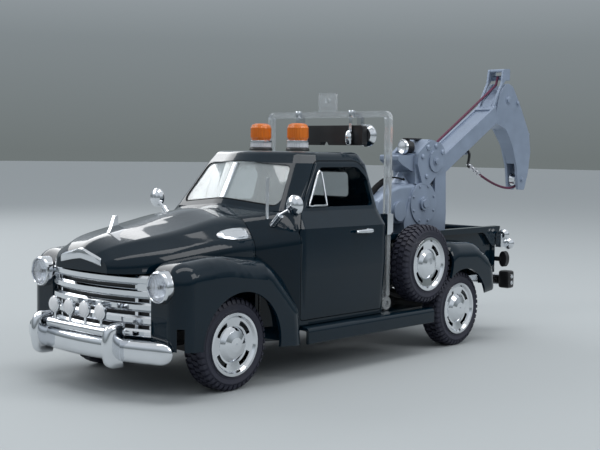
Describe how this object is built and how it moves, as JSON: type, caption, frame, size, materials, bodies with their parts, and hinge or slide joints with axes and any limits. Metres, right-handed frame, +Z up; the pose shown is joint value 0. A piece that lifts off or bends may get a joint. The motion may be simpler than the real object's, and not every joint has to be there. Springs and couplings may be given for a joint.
{
  "type": "model tow truck",
  "caption": "Die-cast model of a round-nosed pickup fitted out as a tow truck, with turning crane, opening doors, hood and tailgate, steered wheels and hoop behind the cab.",
  "frame": {"origin": "middle of the footprint's length and width, on the ground", "axes": "+X forward towards the bumper, +Y to the truck's left, +Z up"},
  "size_m": [0.362, 0.1026, 0.1543],
  "materials": {
    "body_paint": "deep green gloss",
    "crane_paint": "blue-grey satin",
    "chrome": "polished",
    "black_plastic": "matte",
    "chassis_black": "satin black",
    "tyre_rubber": "matte",
    "clear_plastic": "clear",
    "glass": "clear",
    "lamp_glass": "clear",
    "amber_plastic": "amber translucent",
    "seat_vinyl": "satin",
    "line_cord": "dull burgundy"
  },
  "bodies": {
    "truck": {"chassis": "chassis_black", "front_axle": "chassis_black", "rear_axle": "chassis_black", "engine_block": "chassis_black", "radiator_panel": "black_plastic", "front_apron": "body_paint", "cab_shell": "body_paint", "cab_floor": "black_plastic", "bench_seat": "seat_vinyl", "steering_wheel": "black_plastic", "windshield_glass": "glass", "rear_window_glass": "glass", "front_fenders": "body_paint", "rear_fenders": "body_paint", "running_boards": "body_paint", "grille": "chrome", "headlamp_bezels": "chrome", "headlamp_lenses": "lamp_glass", "front_bumper": "chrome", "auxiliary_lamps": "chrome", "bed_box": "body_paint", "spare_tyre": "tyre_rubber", "spare_wheel": "chrome", "hoop": "clear_plastic", "hoop_fittings": "chrome", "light_bar": "black_plastic", "beacon_bases": "clear_plastic", "beacon_domes": "amber_plastic", "cab_trim": "chrome", "rear_bumper": "chrome", "rear_lamps": "chrome", "tail_lamps": "black_plastic", "crane_pedestal": "crane_paint"},
    "hood": {"hood": "body_paint", "hood_trim": "chrome"},
    "door_left": {"door_left": "body_paint", "door_left_trim": "chrome"},
    "door_right": {"door_right": "body_paint", "door_right_trim": "chrome"},
    "tailgate": {"tailgate": "body_paint"},
    "knuckle_left": {"knuckle_left": "chassis_black"},
    "knuckle_right": {"knuckle_right": "chassis_black"},
    "crane_turret": {"crane_turret": "crane_paint", "turret_fittings": "chrome", "turret_hose": "black_plastic"},
    "boom": {"boom": "crane_paint", "taut_line": "line_cord"},
    "forearm": {"forearm": "crane_paint", "forearm_sheave": "chrome", "outer_line": "line_cord", "slack_line": "line_cord", "hook_chain": "chrome"},
    "wheel_front_left": {"tyre_front_left": "tyre_rubber", "wheel_front_left": "chrome"},
    "wheel_front_right": {"tyre_front_right": "tyre_rubber", "wheel_front_right": "chrome"},
    "wheel_rear_left": {"tyre_rear_left": "tyre_rubber", "wheel_rear_left": "chrome"},
    "wheel_rear_right": {"tyre_rear_right": "tyre_rubber", "wheel_rear_right": "chrome"}
  },
  "joints": [
    {"name": "hood_hinge", "type": "hinge", "parent": "truck", "child": "hood", "pos_m": [0.10383, 0, 0.0752], "axis": [0, -1, 0], "range_deg": [0, 50]},
    {"name": "door_left_hinge", "type": "hinge", "parent": "truck", "child": "door_left", "pos_m": [0.08813, 0.0466, 0.05], "axis": [0, 0, -1], "range_deg": [0, 65]},
    {"name": "door_right_hinge", "type": "hinge", "parent": "truck", "child": "door_right", "pos_m": [0.08813, -0.0466, 0.05], "axis": [0, 0, 1], "range_deg": [0, 65]},
    {"name": "tailgate_hinge", "type": "hinge", "parent": "truck", "child": "tailgate", "pos_m": [-0.08717, 0, 0.03635], "axis": [0, -1, 0], "range_deg": [0, 90]},
    {"name": "steer_left", "type": "hinge", "parent": "truck", "child": "knuckle_left", "pos_m": [0.12853, 0.037, 0.01975], "axis": [0, 0, 1], "range_deg": [-18, 18]},
    {"name": "steer_right", "type": "hinge", "parent": "truck", "child": "knuckle_right", "pos_m": [0.12853, -0.037, 0.01975], "axis": [0, 0, 1], "range_deg": [-18, 18]},
    {"name": "spin_front_left", "type": "hinge", "parent": "knuckle_left", "child": "wheel_front_left", "pos_m": [0.12853, 0.04, 0.01975], "axis": [0, 1, 0], "continuous": true},
    {"name": "spin_front_right", "type": "hinge", "parent": "knuckle_right", "child": "wheel_front_right", "pos_m": [0.12853, -0.04, 0.01975], "axis": [0, 1, 0], "continuous": true},
    {"name": "spin_rear_left", "type": "hinge", "parent": "truck", "child": "wheel_rear_left", "pos_m": [-0.03517, 0.0416, 0.01975], "axis": [0, 1, 0], "continuous": true},
    {"name": "spin_rear_right", "type": "hinge", "parent": "truck", "child": "wheel_rear_right", "pos_m": [-0.03517, -0.0416, 0.01975], "axis": [0, 1, 0], "continuous": true},
    {"name": "crane_slew", "type": "hinge", "parent": "truck", "child": "crane_turret", "pos_m": [-0.05917, 0, 0.04], "axis": [0, 0, 1], "range_deg": [-120, 120]},
    {"name": "boom_luff", "type": "hinge", "parent": "crane_turret", "child": "boom", "pos_m": [-0.06467, 0, 0.0968], "axis": [0, 1, 0], "range_deg": [-5, 30]},
    {"name": "forearm_fold", "type": "hinge", "parent": "boom", "child": "forearm", "pos_m": [-0.14667, 0, 0.1353], "axis": [0, 1, 0], "range_deg": [0, 50]}
  ],
  "couplings": [
    {"joint": "steer_right", "follows": "steer_left", "ratio": 1}
  ]
}
